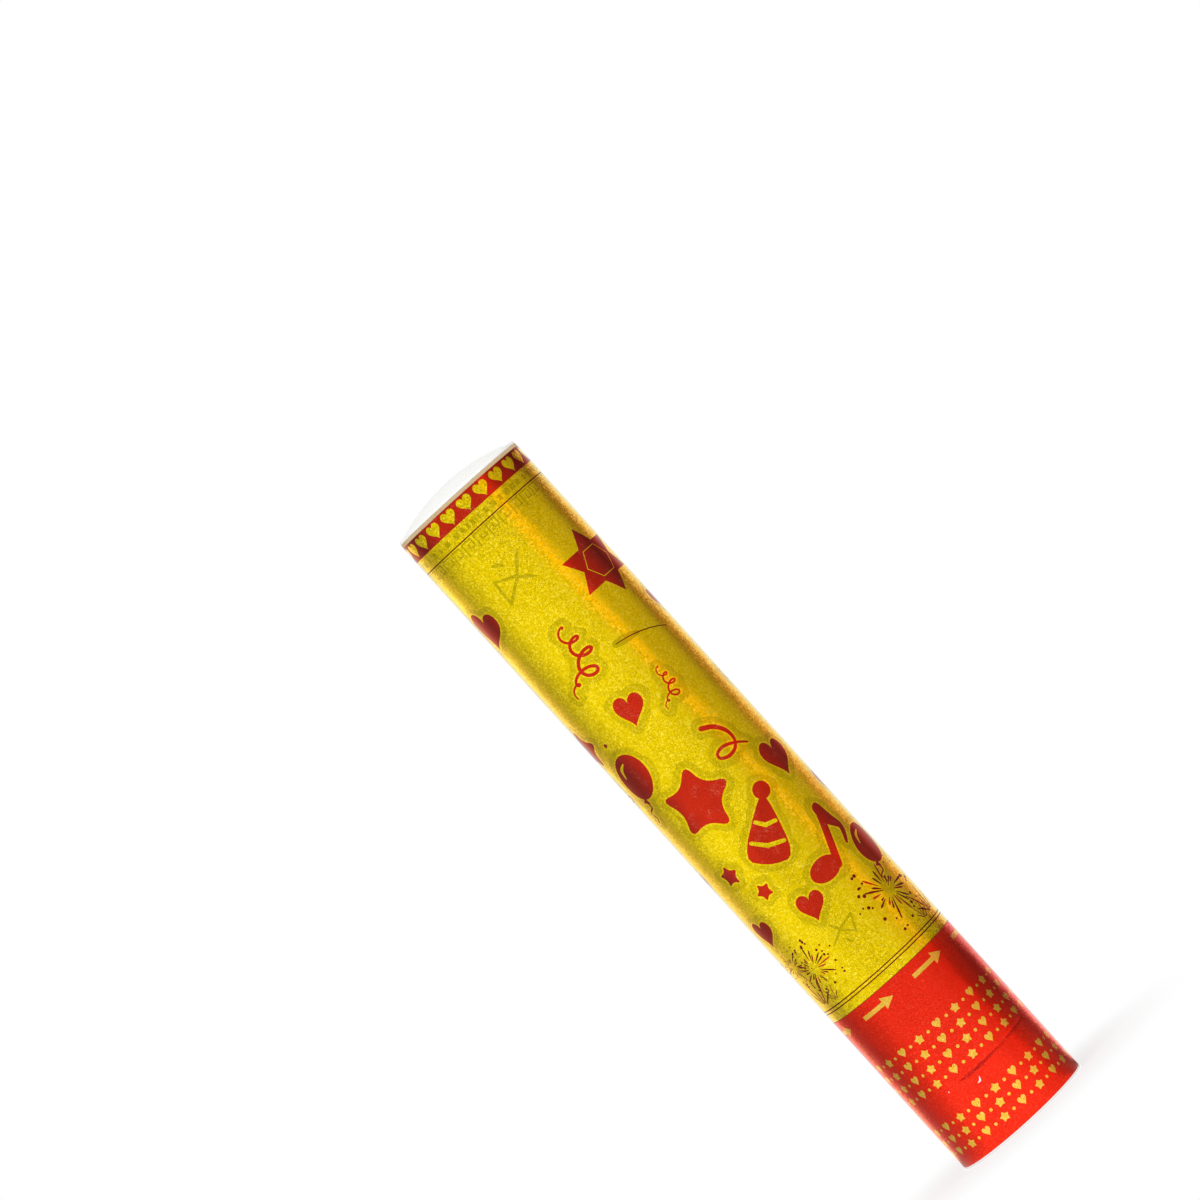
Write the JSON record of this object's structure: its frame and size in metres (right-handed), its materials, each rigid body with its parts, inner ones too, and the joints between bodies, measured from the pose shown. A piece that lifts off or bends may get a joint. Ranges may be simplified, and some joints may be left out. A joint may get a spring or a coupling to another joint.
{
  "type": "confetti popper",
  "caption": "Foil-wrapped cardboard tube popper: turning the grip opens an air bottle, and the air drives a pusher, the confetti and the cap out of the muzzle.",
  "frame": {"origin": "centre of the base, on the surface that the popper stands on", "axes": "+Z along the barrel to the muzzle; X along the cross pin at rest"},
  "size_m": [0.051, 0.051, 0.2827],
  "materials": {
    "kraft_card": "matte",
    "grey_board": "matte",
    "gold_foil": "gloss",
    "red_foil": "gloss",
    "white_plastic": "satin",
    "bottle_plastic": "satin",
    "valve_plastic": "matte",
    "collar_plastic": "satin",
    "washer_plastic": "satin",
    "plug_plastic": "satin",
    "black_rubber": "matte",
    "pin_steel": "satin",
    "clip_steel": "satin",
    "retainer_aluminium": "satin",
    "tissue_gold": "matte",
    "tissue_red": "matte",
    "tissue_green": "matte",
    "tissue_purple": "matte",
    "tissue_magenta": "matte",
    "streamer_red": "gloss",
    "streamer_green": "gloss",
    "star_red": "gloss",
    "star_gold": "gloss",
    "star_blue": "gloss",
    "star_silver": "gloss"
  },
  "bodies": {
    "barrel": {"barrel_tube": "kraft_card", "barrel_foil_wrap": "gold_foil", "valve_housing": "valve_plastic", "thrust_washer": "washer_plastic"},
    "grip": {"grip_tube": "kraft_card", "grip_foil_wrap": "red_foil", "base_cap": "white_plastic", "air_bottle": "bottle_plastic", "bottle_end_plate": "bottle_plastic", "fill_bung": "black_rubber", "bung_retainer": "retainer_aluminium", "cam_collar": "collar_plastic", "retaining_clip": "clip_steel"},
    "plug": {"release_plug": "plug_plastic", "plug_o_ring": "black_rubber", "cross_pin": "pin_steel"},
    "charge": {"pusher_disc": "grey_board", "slips_gold": "tissue_gold", "slips_red": "tissue_red", "slips_green": "tissue_green", "slips_purple": "tissue_purple", "slips_magenta": "tissue_magenta", "streamers_red": "streamer_red", "streamers_green": "streamer_green", "stars_red": "star_red", "stars_gold": "star_gold", "stars_blue": "star_blue", "stars_silver": "star_silver"},
    "cap": {"muzzle_cap": "white_plastic"}
  },
  "joints": [
    {"name": "grip_twist", "type": "hinge", "parent": "barrel", "child": "grip", "pos_m": [0, 0, 0], "axis": [0, 0, 1], "range_deg": [0, 60]},
    {"name": "plug_lift", "type": "slide", "parent": "barrel", "child": "plug", "axis": [0, 0, 1], "range_m": [0, 0.007]},
    {"name": "charge_shot", "type": "slide", "parent": "barrel", "child": "charge", "axis": [0, 0, 1], "range_m": [0, 0.16]},
    {"name": "cap_pop", "type": "slide", "parent": "barrel", "child": "cap", "axis": [0, 0, 1], "range_m": [0, 0.2]}
  ],
  "couplings": [
    {"joint": "plug_lift", "follows": "grip_twist", "m_per_rad": 0.0066844},
    {"joint": "cap_pop", "follows": "charge_shot", "ratio": 1.25}
  ]
}
